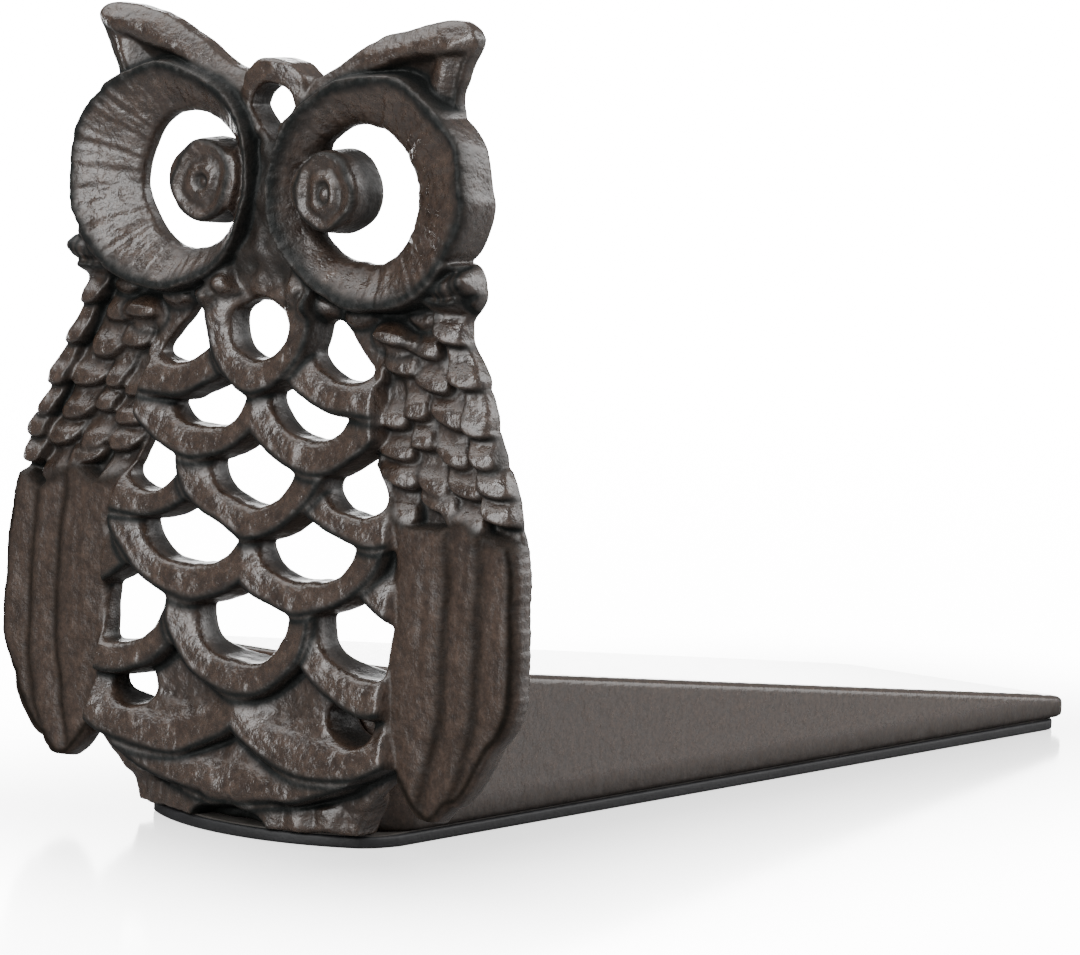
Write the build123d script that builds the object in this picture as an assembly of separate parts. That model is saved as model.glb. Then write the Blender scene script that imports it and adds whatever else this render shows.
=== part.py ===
"""Door stop: openwork owl figure screwed to the thick end of a hollow wedge with a rubber sole.

Millimetres.  +Z is up, +Y runs from the figure towards the thin end, X is left to right.
The figure is drawn front-on in X/Z; depths are measured from its face line (Y = 0) and every
finished piece is then moved by -Y_MID, so that the box of the whole part is centred on X = Y = 0
and stands on Z = 0.
"""
import os

from build123d import *

# ---- wedge and sole ---------------------------------------------------------------------------
PAD_T = 1.8            # rubber sheet
GLUE_T = 0.2           # adhesive film between rubber and iron
FOOT_Z = PAD_T + GLUE_T
HALF_W = 23.5          # half width of wedge and sole
Y_WEDGE = 6.0          # front wall of the wedge, against the back of the figure
Y_TIP = 196.5          # thin end of the casting
Y_PAD_END = 193.5      # the sheet stops short of the rounded tip
Y_PAD_SIDE = 5.0       # where the straight sides of the sheet begin
Y_PAD_NOSE = -4.0      # middle of the bowed front edge of the sheet
TOP_Z0 = 28.0          # height of the ramp line carried forward to Y = 0
TOP_SLOPE = 0.1144     # fall of the ramp per millimetre
TIP_FLAT = 188.0       # where the nose rounding starts
WALL = 4.0             # side walls, front wall and roof of the hollow casting
CORNER_R = 8.0         # plan corners at the thick end
TIP_R = 5.0            # plan corners at the thin end

# ---- figure -----------------------------------------------------------------------------------
Y_BACK = 6.0           # flat back of the figure
Y_FACE = 0.0           # general face of the plate
Y_FRONT = -5.0         # foremost point (beak and toes)
Y_MID = (Y_FRONT + Y_TIP) / 2

EYE_X, EYE_Z = 20.8, 98.2
EYE_RX, EYE_RZ = 18.7, 16.9
EYE_PROUD = 1.5        # rim of the eye dish in front of the face
EYE_LIP = 0.9          # flat on top of the rim
HOLE_X, HOLE_R = 16.5, 10.7
HOLE_WALL = 2.0        # straight wall left behind the dish
PUPIL_X, PUPIL_R = 12.1, 6.2
FOOT_HALF = 22.0       # half width of the foot on the sole

# ---- fasteners --------------------------------------------------------------------------------
SCREW_X, SCREW_Z = 11.0, 13.0
SCREW_R = 2.5
SCREW_BITE = 5.5       # thread length in the figure
HEAD_R, HEAD_T = 4.6, 3.0
WASHER_R, WASHER_T = 5.2, 1.2
CLEARANCE = 0.25

# Rows of feather bands: centre x, lowest z, outer half width, outer height, hole half width,
# band width at the lowest point.  Entries off the centre line are used on both sides.
BANDS = [
    (0.0, 66.6, 10.2, 13.6, 5.6, 6.1),
    (18.2, 65.5, 10.5, 12.5, 6.2, 4.8),
    (11.8, 56.1, 14.2, 12.5, 9.4, 5.0),
    (0.0, 45.4, 13.3, 13.0, 8.8, 4.9),
    (21.8, 46.2, 11.2, 12.5, 7.0, 4.5),
    (11.7, 34.8, 14.8, 13.5, 10.2, 5.1),
    (0.0, 21.2, 13.3, 15.0, 9.0, 5.4),
    (23.6, 21.4, 12.2, 15.0, 7.2, 5.3),
]
OPEN_TOP = {0: 81.2, 1: 78.4}      # holes of the top row end under the chin, at these heights
LAST_X, LAST_Z = 21.6, 19.8        # small pair of holes below the last row of bands
BAND_PROUD = 2.0
BAND_LEDGE = 0.4       # step between a band and the hole it frames


def front(y):
    """Drawing plane facing the viewer at depth y: local x is X, local y is Z."""
    return Plane(origin=(0, y, 0), x_dir=(1, 0, 0), z_dir=(0, -1, 0))


def slab(sketch, y_back, y_front):
    """Front-on sketch pulled from y_back to y_front."""
    return extrude(front(y_back) * sketch, amount=y_back - y_front)


def mound(x, z, rx, rz, y_back, y_front, draw_in, lean=0.0):
    """Oval pad whose outline shrinks by draw_in between y_back and y_front."""
    at = Pos(x, z) * Rot(0, 0, lean)
    wide = at * Ellipse(rx, rz) if rx != rz else at * Circle(rx)
    slim = at * Ellipse(rx - draw_in, rz - draw_in) if rx != rz else at * Circle(rx - draw_in)
    return loft([front(y_back) * wide, front(y_front) * slim])


def both(item):
    """Item and its mirror image across X = 0."""
    return item + mirror(item, about=Plane.YZ)


def oval(x, z, rx, rz):
    return Pos(x, z) * (Circle(rx) if abs(rx - rz) < 1e-6 else Ellipse(rx, rz))


# ---- silhouette of the figure -----------------------------------------------------------------
def silhouette():
    loop = Line((0, 98), (0, 117.2))
    crown = ThreePointArc((0, 117.2), (3.7, 116.6), (6.6, 114.9))
    ear_top = Spline((6.6, 114.9), (17.0, 120.4), (27.0, 123.8), (37.6, 122.2))
    ear_side = Spline((37.6, 122.2), (35.2, 117.6), (32.6, 112.4))
    temple = Spline((32.6, 112.4), (34.0, 107.0), (34.6, 98.2), (34.0, 89.6))   # behind the eye rim
    shoulder = Spline((34.0, 89.6), (38.6, 88.9), (40.0, 86.0), (38.0, 81.6))
    wing = Spline((38.0, 81.6), (41.8, 70.6), (46.2, 60.0), (51.4, 40.0), (51.6, 28.0), (49.4, 20.4))
    tip_a = Line((49.4, 20.4), (47.2, 19.4))
    tip_b = Spline((47.2, 19.4), (45.0, 13.4), (42.0, 9.9))
    tip_c = Spline((42.0, 9.9), (37.0, 6.6), (32.8, 9.0), (30.4, 12.8))
    belly = Spline((30.4, 12.8), (26.4, 8.9), (FOOT_HALF, 5.4))
    foot = Polyline((FOOT_HALF, 5.4), (FOOT_HALF, FOOT_Z), (0, FOOT_Z), (0, 98))
    half = make_face([loop, crown, ear_top, ear_side, temple, shoulder, wing,
                      tip_a, tip_b, tip_c, belly, foot])
    return both(half)


def band_rings(index):
    """Outer and inner outline of one feather band, right-hand side."""
    x, z_low, half_w, height, hole_w, width = BANDS[index]
    z_mid = z_low + height
    outer = oval(x, z_mid, half_w, height)
    inner = oval(x, z_mid, hole_w, height - width)
    return outer, inner, z_mid


def openings():
    """Through holes between the bands: inside one band, below the bands of the rows above."""
    holes = Sketch()
    for i, (x, z_low, half_w, height, hole_w, width) in enumerate(BANDS):
        _, hole, z_mid = band_rings(i)
        if i in OPEN_TOP:
            drop = z_mid + height - width - OPEN_TOP[i]
            hole = oval(x - (1.2 if x else 0), (z_low + width + OPEN_TOP[i]) / 2,
                        hole_w, height - width - drop / 2)
        if i:
            for j in range(len(BANDS)):
                if BANDS[j][1] > z_low + 5:
                    hole = hole - both(band_rings(j)[0])
        holes = holes + both(hole)
    holes = holes + both(oval(LAST_X, LAST_Z, 4.4, 3.0))
    return holes


def bands():
    """Raised U-shaped bands, each running out upwards behind its neighbours."""
    raised = None
    for i, (x, z_low, half_w, height, hole_w, width) in enumerate(BANDS):
        outer, _, z_mid = band_rings(i)
        lower = Pos(x, z_mid - height / 2 - 2) * Rectangle(2 * half_w + 2, height + 4)
        hole = oval(x, z_mid, hole_w + BAND_LEDGE, height - width + BAND_LEDGE)
        ring = (outer & lower) - hole
        body = slab(ring, Y_FACE + 0.5, Y_FACE - BAND_PROUD)
        body = body if x == 0 else both(body)
        raised = body if raised is None else raised + body
    return raised


# ---- face -------------------------------------------------------------------------------------
def eyes(body):
    rim = slab(oval(EYE_X, EYE_Z, EYE_RX, EYE_RZ), Y_BACK, Y_FACE - EYE_PROUD)
    body = body + both(rim)
    deep = Y_BACK - HOLE_WALL
    dish = loft([front(Y_FACE - EYE_PROUD) * oval(EYE_X, EYE_Z, EYE_RX - EYE_LIP, EYE_RZ - EYE_LIP),
                 front(deep) * oval(HOLE_X, EYE_Z, HOLE_R, HOLE_R)])
    hole = slab(oval(HOLE_X, EYE_Z, HOLE_R, HOLE_R), Y_BACK + 1, deep - 0.5)
    loop_hole = slab(make_face([
        ThreePointArc((3.9, 110.8), (0, 113.2), (-3.9, 110.8)),
        Polyline((-3.9, 110.8), (0, 105.4), (3.9, 110.8))]), Y_BACK + 1, Y_FRONT)
    body = body - both(dish) - both(hole) - loop_hole

    boss = mound(PUPIL_X, EYE_Z, PUPIL_R + 0.4, PUPIL_R + 0.4, Y_BACK, Y_FACE - 1.0, 0.4)
    bridge = slab(Pos(5.5, EYE_Z) * Rectangle(7.0, 8.5), Y_BACK, Y_FACE + 0.6)
    dimple = slab(oval(PUPIL_X, EYE_Z, 4.4, 4.4), Y_FACE - 0.1, Y_FACE - 2.0)
    dot = mound(PUPIL_X, EYE_Z, 1.6, 1.6, Y_FACE + 0.5, Y_FACE - 0.9, 0.4)
    beak_outline = make_face([Spline((0, 108.0), (-2.9, 97.0), (-6.0, 86.5), (0, 81.6)),
                              Spline((0, 81.6), (6.0, 86.5), (2.9, 97.0), (0, 108.0))])
    ridge = mound(0, 92.5, 3.6, 11.0, Y_FACE + 1.0, Y_FACE - 2.6, 1.8)
    beak = slab(beak_outline, Y_BACK, Y_FACE - 0.8) + ridge
    nib = Pos(0, Y_FACE - 1.4, 88.0) * Sphere(3.6)
    return body + both(boss - dimple + dot) + both(bridge) + beak + nib


def ears(body):
    hollow = make_face([Spline((35.2, 120.8), (26.0, 119.8), (17.6, 116.8)),
                        Spline((17.6, 116.8), (26.0, 115.4), (31.0, 112.8)),
                        Spline((31.0, 112.8), (32.6, 116.6), (35.2, 120.8))])
    return body - both(slab(hollow, Y_FACE + 2.2, Y_FACE - 1.0))


# ---- plumage ----------------------------------------------------------------------------------
def feather(x, z, half_w, half_h, lean, proud=1.4):
    return mound(x, z, half_w, half_h, Y_FACE + 0.4, Y_FACE - proud, 0.8, lean)


def wings(body):
    """Short overlapping feathers above, three long flight feathers below, on both wings."""
    raised = None
    rows = 7
    for row in range(rows):
        z = 79.0 - row * 4.6
        inner, outer = 26.5 + 0.25 * row, 36.0 + 1.75 * row
        count = 2 + row // 2
        for k in range(count):
            x = inner + (outer - inner) * (k + 0.5 * (row % 2)) / count + 2.0
            pad = feather(x, z - 0.25 * k, 2.7, 2.2, -18)
            raised = pad if raised is None else raised + pad
    for x_top, x_low, z_top, z_low, half_w in ((32.5, 36.6, 48.0, 9.2, 3.7),
                                              (40.6, 42.6, 49.0, 13.2, 2.9),
                                              (47.0, 48.4, 50.0, 22.0, 2.3)):
        blade = make_face([
            Spline((x_top - half_w, z_top), ((x_top + x_low) / 2 - half_w, (z_top + z_low) / 2),
                   (x_low, z_low)),
            Spline((x_low, z_low), ((x_top + x_low) / 2 + half_w, (z_top + z_low) / 2),
                   (x_top + half_w, z_top)),
            Line((x_top + half_w, z_top), (x_top - half_w, z_top))])
        raised = raised + slab(blade, Y_FACE + 0.4, Y_FACE - 1.4)
    shoulder = mound(38.2, 85.6, 2.9, 2.4, Y_FACE + 3.0, Y_FACE - 0.6, 0.8)
    bumps = [feather(x, z, 2.6, 2.0, 0, 1.2) for x, z in ((8.2, 83.0), (14.4, 80.6), (23.5, 80.0))]
    for pad in bumps:
        raised = raised + pad
    return body + both(raised) + both(shoulder)


def feet(body):
    """Closed lobes under the open rows, and the two feet with three toes each."""
    side_lobe = slab(oval(14.0, 20.5, 12.5, 9.6) - oval(14.0, 24.0, 14.0, 7.0),
                     Y_FACE + 0.5, Y_FACE - 2.4)
    skirt = slab(oval(0, 14.0, 22.0, 9.0) - oval(0, 18.0, 24.0, 8.0),
                 Y_FACE + 0.5, Y_FACE - 3.2)
    body = body + both(side_lobe) + skirt
    arch = slab(oval(0, FOOT_Z, 4.5, 2.6), Y_BACK - 3.0, Y_FRONT)
    for k in range(3):
        x = 8.4 + 4.5 * k
        y = -1.4 + 1.9 * k
        toe = Pos(x, y, FOOT_Z) * Sphere(3.3)
        toe = toe & Pos(x, y, FOOT_Z + 5) * Box(12, 12, 10)
        body = body + both(toe)
    return body - arch


def owl_figure():
    plate = slab(silhouette() - openings(), Y_BACK, Y_FACE)
    body = plate + bands()
    body = eyes(body)
    body = ears(body)
    body = wings(body)
    body = feet(body)
    pilot = slab(oval(SCREW_X, SCREW_Z, SCREW_R, SCREW_R), Y_BACK + 1, Y_BACK - SCREW_BITE)
    return body - both(pilot)


# ---- wedge ------------------------------------------------------------------------------------
def ramp_z(y):
    return TOP_Z0 - TOP_SLOPE * y


def wedge_ramp():
    tip_z = FOOT_Z + 1.6
    side = make_face([
        Polyline((Y_WEDGE, FOOT_Z), (Y_WEDGE, ramp_z(Y_WEDGE)), (TIP_FLAT, ramp_z(TIP_FLAT))),
        ThreePointArc((TIP_FLAT, ramp_z(TIP_FLAT)), (Y_TIP - 2.3, tip_z + 1.9), (Y_TIP, tip_z)),
        ThreePointArc((Y_TIP, tip_z), (Y_TIP - 0.6, FOOT_Z + 0.5), (Y_TIP - 2.0, FOOT_Z)),
        Line((Y_TIP - 2.0, FOOT_Z), (Y_WEDGE, FOOT_Z))])
    across = Plane(origin=(-HALF_W, 0, 0), x_dir=(0, 1, 0), z_dir=(1, 0, 0))
    body = extrude(across * side, amount=2 * HALF_W)
    plan = Pos(0, (Y_WEDGE + Y_TIP) / 2) * Rectangle(2 * HALF_W, Y_TIP - Y_WEDGE)
    corners = plan.vertices().sort_by(Axis.Y)
    plan = fillet(corners[:2], CORNER_R)
    plan = fillet(plan.vertices().sort_by(Axis.Y)[-2:], TIP_R)
    body = body & extrude(plan, amount=TOP_Z0)
    # hollow from below
    y0, y1 = Y_WEDGE + WALL, 158.0
    core = make_face([Polyline((y0, FOOT_Z), (y0, ramp_z(y0) - WALL), (y1, ramp_z(y1) - WALL),
                               (y1, FOOT_Z), (y0, FOOT_Z))])
    inside = Plane(origin=(-HALF_W + WALL, 0, 0), x_dir=(0, 1, 0), z_dir=(1, 0, 0))
    cavity = extrude(inside * core, amount=2 * (HALF_W - WALL))
    upright = cavity.edges().filter_by(Axis.Z)
    cavity = fillet(upright, 3.0)
    body = body - cavity
    bore = slab(oval(SCREW_X, SCREW_Z, SCREW_R + CLEARANCE, SCREW_R + CLEARANCE), y0 + 1, Y_WEDGE - 1)
    return body - both(bore)


# ---- sole -------------------------------------------------------------------------------------
def sole_outline(inset=0.0):
    w, tail = HALF_W - inset, Y_PAD_END - inset
    nose, side = Y_PAD_NOSE + inset, Y_PAD_SIDE + inset
    outline = make_face([ThreePointArc((-w, side), (0, nose), (w, side)),
                         Polyline((w, side), (w, tail), (-w, tail), (-w, side))])
    order = outline.vertices().sort_by(Axis.Y)
    outline = fillet(order[:2], 4.0)
    return fillet(outline.vertices().sort_by(Axis.Y)[-2:], TIP_R)


def screw():
    """Pan-head machine screw, axis along Y, driven from inside the hollow."""
    seat = Y_WEDGE + WALL + WASHER_T
    to_front = Plane(origin=(0, seat, 0), x_dir=(1, 0, 0), z_dir=(0, -1, 0))
    shank = extrude(to_front * Circle(SCREW_R - 0.05), amount=seat - (Y_BACK - SCREW_BITE + 0.4))
    head = extrude(Plane(origin=(0, seat + HEAD_T, 0), x_dir=(1, 0, 0), z_dir=(0, -1, 0))
                   * Circle(HEAD_R), amount=HEAD_T)
    head = fillet(head.edges().sort_by(Axis.Y)[-1], 1.4)
    cross = Box(5.2, 2 * 1.8, 1.1) + Box(1.1, 2 * 1.8, 5.2)
    return head + shank - Pos(0, seat + HEAD_T, 0) * cross


def washer():
    """Split spring washer."""
    seat = Y_WEDGE + WALL + WASHER_T
    ring = extrude(Plane(origin=(0, seat, 0), x_dir=(1, 0, 0), z_dir=(0, -1, 0))
                   * (Circle(WASHER_R) - Circle(SCREW_R + CLEARANCE)), amount=WASHER_T)
    gap = Pos(0, seat - WASHER_T / 2, WASHER_R - 1.2) * Rot(0, 25, 0) * Box(0.8, 4, 5.2)
    return ring - gap


# ---- assembly ---------------------------------------------------------------------------------
def main():
    os.makedirs("parts", exist_ok=True)
    place = Pos(0, -Y_MID, 0)
    right, left = Pos(SCREW_X, 0, SCREW_Z), Pos(-SCREW_X, 0, SCREW_Z)
    pieces = {
        "owl_figure": owl_figure(),
        "wedge_ramp": wedge_ramp(),
        "figure_screw_left": left * screw(),
        "figure_screw_right": right * screw(),
        "lock_washer_left": left * washer(),
        "lock_washer_right": right * washer(),
        "sole_adhesive": Pos(0, 0, PAD_T) * extrude(sole_outline(0.8), amount=GLUE_T),
        "sole_pad": extrude(sole_outline(), amount=PAD_T),
    }
    for node, shape in pieces.items():
        shape = place * shape
        box = shape.bounding_box()
        print(node, len(shape.solids()), "solids", [round(v, 2) for v in (*box.min, *box.max)],
              round(shape.volume, 1))
        export_step(shape, f"parts/{node}.step")


if __name__ == "__main__":
    main()
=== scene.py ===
import math

import bpy
import numpy as np
from mathutils import Matrix, Vector


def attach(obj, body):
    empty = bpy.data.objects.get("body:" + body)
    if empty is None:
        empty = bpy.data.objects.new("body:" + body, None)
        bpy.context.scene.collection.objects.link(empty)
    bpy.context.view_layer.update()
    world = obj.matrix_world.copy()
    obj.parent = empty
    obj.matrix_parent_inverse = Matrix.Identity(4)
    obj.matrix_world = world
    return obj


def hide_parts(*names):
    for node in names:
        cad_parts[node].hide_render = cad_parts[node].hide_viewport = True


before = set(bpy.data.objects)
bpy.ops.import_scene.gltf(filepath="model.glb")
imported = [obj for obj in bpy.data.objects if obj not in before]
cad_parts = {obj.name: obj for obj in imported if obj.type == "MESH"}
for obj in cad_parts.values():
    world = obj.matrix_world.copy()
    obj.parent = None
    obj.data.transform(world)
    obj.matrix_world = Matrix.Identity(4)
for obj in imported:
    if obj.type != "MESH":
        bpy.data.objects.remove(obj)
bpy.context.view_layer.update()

# ---- sizes in millimetres: X left to right, Y front to back from the face line, Z up ------------
Y_MID = 95.75              # the frame's origin lies this far behind the face line
Y_BACK = 6.0               # back of the figure, front wall of the wedge
PAD_T, GLUE_T = 1.8, 0.2
FOOT_Z = PAD_T + GLUE_T
HALF_W = 23.5
Y_TIP, TIP_FLAT, Y_PAD_END = 196.5, 188.0, 193.5
TOP_Z0, TOP_SLOPE = 28.0, 0.1144
WALL, HOLLOW_END = 4.0, 158.0           # the wedge is hollow from below up to here
CORNER_THICK, CORNER_TIP = 8.0, 5.0     # corner radii seen from above
TIP_EDGE = 1.4             # upright edge under the wedge's rounded tip
EYE_X, EYE_Z, EYE_RX, EYE_RZ = 20.7, 98.2, 18.8, 17.0
HOLE_X, HOLE_Z, HOLE_R = 16.8, 97.7, 10.4
PUPIL_X, PUPIL_Z, PUPIL_R = 12.3, 97.8, 6.5
LIP = 1.0                  # the bands reach this far past their crest line
LEAN, LEAN_Z = 0.042, 50.0  # the figure leans back by this much per millimetre of height
MAP_STEP = 0.22            # grid of the height maps
VOXEL = 0.28

# Feather bands from the bottom row upwards: centre x, lowest z, half width, height, roundness,
# how far the lower edge stands out; then the opening: centre x, lowest z, half width, height
BANDS = [
    (0.0, 5.6, 25.5, 9.0, 1.8, 3.0, None),
    (16.5, 11.2, 18.0, 9.0, 1.8, 2.5, (21.7, 16.7, 4.4, 3.3)),
    (26.5, 22.0, 15.5, 11.0, 1.8, 2.4, (26.0, 26.4, 10.9, 9.0)),
    (0.0, 21.6, 13.5, 11.0, 1.7, 2.4, (0.0, 26.2, 8.9, 8.0)),
    (34.0, 34.6, 13.5, 10.0, 1.7, 2.0, None),
    (11.2, 35.1, 15.5, 10.5, 1.6, 2.3, (11.6, 39.8, 9.7, 6.0)),
    (23.0, 46.6, 14.0, 7.5, 1.7, 2.0, (20.4, 50.2, 6.8, 7.5)),
    (0.0, 45.5, 13.5, 10.0, 1.6, 2.1, (0.0, 50.0, 8.4, 7.0)),
    (11.6, 56.4, 14.5, 10.0, 1.6, 2.0, (10.4, 60.9, 7.8, 6.0)),
    (19.5, 65.6, 14.5, 8.0, 2.0, 1.8, (16.0, 70.2, 6.0, 4.1)),
    (0.0, 67.2, 9.8, 11.0, 1.7, 2.2, (0.0, 72.8, 5.8, 4.9)),
]

# Right half of the outline, from the hanging ring over the head and round the wing to the foot:
# each row is one smooth run, and the runs meet in corners
OUTLINE = [
    [(0, 117.0), (3.2, 116.4), (6.0, 114.4)],
    [(6.4, 114.1), (10, 115.5), (15, 118.4), (20, 120.8), (25, 122.6), (30, 123.8), (33.8, 123.8),
     (36.2, 123.1), (37.1, 122.1)],
    [(36.9, 121.3), (35.5, 118.8), (34.2, 116.0), (33.3, 113.2), (34.0, 109), (35, 98), (35.6, 91.2)],
    [(36.7, 88.8), (38.5, 88.2), (39.4, 85.9), (39.2, 83.2), (37.9, 81.5)],
    [(37.4, 80.6), (37.5, 78.0), (38.1, 76.6)],
    [(38.5, 76.0), (40.5, 72.8), (40.9, 70.7)],
    [(41.4, 70.2), (43.2, 67.4), (43.7, 65.2)],
    [(44.1, 64.8), (45.4, 61.8), (45.7, 59.8)],
    [(46.5, 59.3), (47.8, 56.0), (48.5, 53.6), (48.9, 51.3)],
    [(49.3, 50.6), (50.3, 45), (50.9, 40), (51.2, 34.0), (51.2, 29.0), (50.7, 25.0), (49.6, 22.2),
     (48.5, 20.3)],
    [(47.5, 19.3), (46.2, 16.4), (44.8, 13.4), (43.4, 11.3), (42.0, 10.2)],
    [(40.7, 9.8), (39.5, 8.4), (38.3, 7.1), (36.9, 6.7), (35.2, 7.2), (33.4, 8.8), (31.6, 11.0)],
    [(30.4, 12.4), (28.0, 10.0), (25.6, 8.2), (23.9, 6.3), (22.9, 4.2), (22.3, 2.6), (22.0, FOOT_Z)],
]
PLATE_X = -3               # the half outline is closed a little past the middle

# Wings: inner edge as z, x; then the short feathers, row by row (lowest z, outer x) and across a
# row from the outside in (width, how far it sits above the row, distance in from the outside);
# then the x of the two grooves between the long feathers at five heights
WING_EDGE = [(10, 31.1), (14, 30.2), (18, 29.2), (25, 28.4), (35, 28.4), (44, 28.6), (50, 27.2),
             (54, 25.0), (58, 23.2), (62, 24.2), (70, 23.0), (76, 21.8), (81, 21.1)]
FEATHER_ROWS = [(76.4, 38.2), (70.6, 41.3), (65.2, 44.3), (60.0, 46.2), (55.2, 48.0), (51.2, 49.2)]
FEATHERS = [(5.4, 0.0, 2.5), (6.8, -0.9, 8.3), (6.6, 0.5, 14.6), (6.0, -0.8, 20.4)]
GROOVE_Z = (10, 15, 22, 32, 48)
GROOVE_X = ((35.4, 36.6, 38.4, 38.8, 38.2), (40.8, 43.0, 44.3, 44.8, 44.2))
WING_OUT = 51.6
FLIGHT_TOP = 50.3          # the flight feathers start below this height

# Lumps under the eyes: centre x, z, half width, half height, how far they stand out
LUMPS = [(6.6, 82.6, 2.6, 1.9, 1.2), (11.4, 80.7, 3.4, 1.9, 1.5), (18.4, 80.0, 3.6, 1.7, 1.3),
         (25.0, 77.0, 4.4, 2.5, 1.5), (29.4, 80.8, 3.4, 1.9, 1.3)]
SHOULDER = (37.0, 86.0, 5.6, 2.1, 15)   # centre x, z, half length, half height, slope in degrees
EAR_HOLLOW = [[(35.9, 120.4), (30, 119.2), (23, 117.4), (16.5, 115.6)],
              [(16, 113), (24, 112), (32.0, 109.5), (33.4, 114.0), (35.9, 119.8)]]
EAR_BACK = [(8, 5.9), (20, 5.9), (30, 5.5), (36, 5.1)]          # x, depth
BRIDGE_HALF = [(80, 3.4), (83, 5.6), (86, 6.2), (90, 4.8), (94, 3.8), (98, 3.0), (103, 2.4), (107, 1.2)]
BRIDGE_Y = [(80, 0.5), (84, 0.1), (88, -0.4), (96, -0.8), (102, -0.2), (108, 1.6)]   # z, depth
STROKES = (23, 31, 41, 57, 71)          # waves round the eye's dish
# Rings on the pupil's face: radius, width, depth
PUPIL_RINGS = [(5.2, 0.8, -0.30), (3.9, 1.0, 0.25), (2.1, 0.8, -0.45), (1.1, 0.4, 0.30), (0.0, 0.6, -0.3)]
RUNG_PITCH = 1.7           # fine rungs on the outer edge of the wings


# ---- small field helpers ------------------------------------------------------------------------
def smooth_min(a, b, k):
    h = np.clip(0.5 + 0.5 * (b - a) / k, 0, 1)
    return b + (a - b) * h - k * h * (1 - h)


def smooth_max(a, b, k):
    return -smooth_min(-a, -b, k)


def step(a, b, v):
    t = np.clip((v - a) / (b - a), 0, 1)
    return t * t * (3 - 2 * t)


def bell(v, at, width):
    return np.exp(-((v - at) / width) ** 2)


def over(under, top, w):
    """One field laid over another where w is 1."""
    return under * (1 - w) + top * w


def oval(x, z, cx, cz, rx, rz):
    """Signed distance to an ellipse, close to its edge; negative inside."""
    u, v = (x - cx) / rx, (z - cz) / rz
    q = np.maximum(np.hypot(u, v), 1e-4)
    return (q - 1) * q / np.maximum(np.hypot(u / rx, v / rz), 1e-4)


def turned(x, z, cx, cz, rx, rz, deg):
    """As oval, for an ellipse turned by deg."""
    c, s = math.cos(math.radians(deg)), math.sin(math.radians(deg))
    dx, dz = x - cx, z - cz
    return oval(c * dx + s * dz, -s * dx + c * dz, 0, 0, rx, rz)


def curve(points):
    """Smooth open curve through the points."""
    per = 8
    p = np.array([points[0], *points, points[-1]], float)
    t = np.linspace(0, 1, per, endpoint=False)[:, None]
    out = []
    for a, b, c, d in zip(p[:-3], p[1:-2], p[2:-1], p[3:]):
        out.append(0.5 * (2 * b + (c - a) * t + (2 * a - 5 * b + 4 * c - d) * t ** 2
                          + (3 * b - a - 3 * c + d) * t ** 3))
    return np.vstack(out + [p[-1:]])


def polygon(x, z, pts):
    """Signed distance to a closed polygon; negative inside."""
    best = np.full(x.shape, 1e9)
    inside = np.zeros(x.shape, bool)
    for (ax, az), (bx, bz) in zip(pts, np.roll(pts, -1, axis=0)):
        ex, ez = bx - ax, bz - az
        n = ex * ex + ez * ez
        if n < 1e-12:
            continue
        t = np.clip(((x - ax) * ex + (z - az) * ez) / n, 0, 1)
        best = np.minimum(best, (x - ax - t * ex) ** 2 + (z - az - t * ez) ** 2)
        if abs(ez) > 1e-12:
            cross = ((az > z) != (bz > z)) & (x < ax + ex * (z - az) / ez)
            inside ^= cross
    return np.where(inside, -1, 1) * np.sqrt(best)


def noise(shape, step_mm, size_mm, seed, stretch=(1.0, 1.0)):
    """Smooth random field of unit spread whose features are size_mm across."""
    rng = np.random.default_rng(seed)
    field = np.fft.rfft2(rng.standard_normal(shape))
    kx = np.fft.fftfreq(shape[0], step_mm)[:, None] * size_mm * stretch[0]
    kz = np.fft.rfftfreq(shape[1], step_mm)[None, :] * size_mm * stretch[1]
    out = np.fft.irfft2(field * np.exp(-2.2 * (kx ** 2 + kz ** 2)), s=shape)
    return (out - out.mean()) / out.std()


def blur(a, cells):
    """The field blurred over that many cells of its grid."""
    kx = np.fft.fftfreq(a.shape[0])[:, None] * cells
    kz = np.fft.rfftfreq(a.shape[1])[None, :] * cells
    return np.fft.irfft2(np.fft.rfft2(a) * np.exp(-19.7 * (kx ** 2 + kz ** 2)), s=a.shape)


# ---- height maps of the figure ------------------------------------------------------------------
# Each function takes the depth of the front (F) and the patina and painted shade so far, and lays its
# feature over them. A is the distance from the middle, ZW the height, both slightly uneven like a casting.
def arch(x, z, cx, low, half, height, power):
    """Signed distance to a hanging scale: curved below, straight sides above; negative inside."""
    mid = low + height
    u = np.maximum(np.abs(x - cx) / half, 1e-4)
    v = np.maximum((mid - z) / height, 0)
    q = (u ** power + v ** power) ** (1 / power)
    gu = (u / q) ** (power - 1) / half
    gv = (v / q) ** (power - 1) / height
    return (q - 1) / np.hypot(gu, gv)


def opening(A, ZW, cx, low, hole):
    """Signed distance to a band's opening; the top rows and the lowest row have their own shapes."""
    hx, hz, ha, hb = hole
    if low > 60 and cx:
        o = oval(A + 0.30 * (ZW - hz - hb), ZW, hx - 0.2, hz + hb + 0.3, ha + 0.2, hb + 0.3)
        return smooth_max(o, 0.72 * (A - 17.6) + 0.69 * (ZW - 76.0), 0.8)
    if low > 60:
        return np.where(ZW < 77.2, oval(A, ZW, 0, 77.2, ha, 5.0), oval(A, ZW, 0, 77.2, ha, 3.1))
    if low < 15:
        return oval(A, ZW, hx, hz + hb, ha, hb)
    return arch(A, ZW, hx, hz, ha, hb, 2.2)


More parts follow.
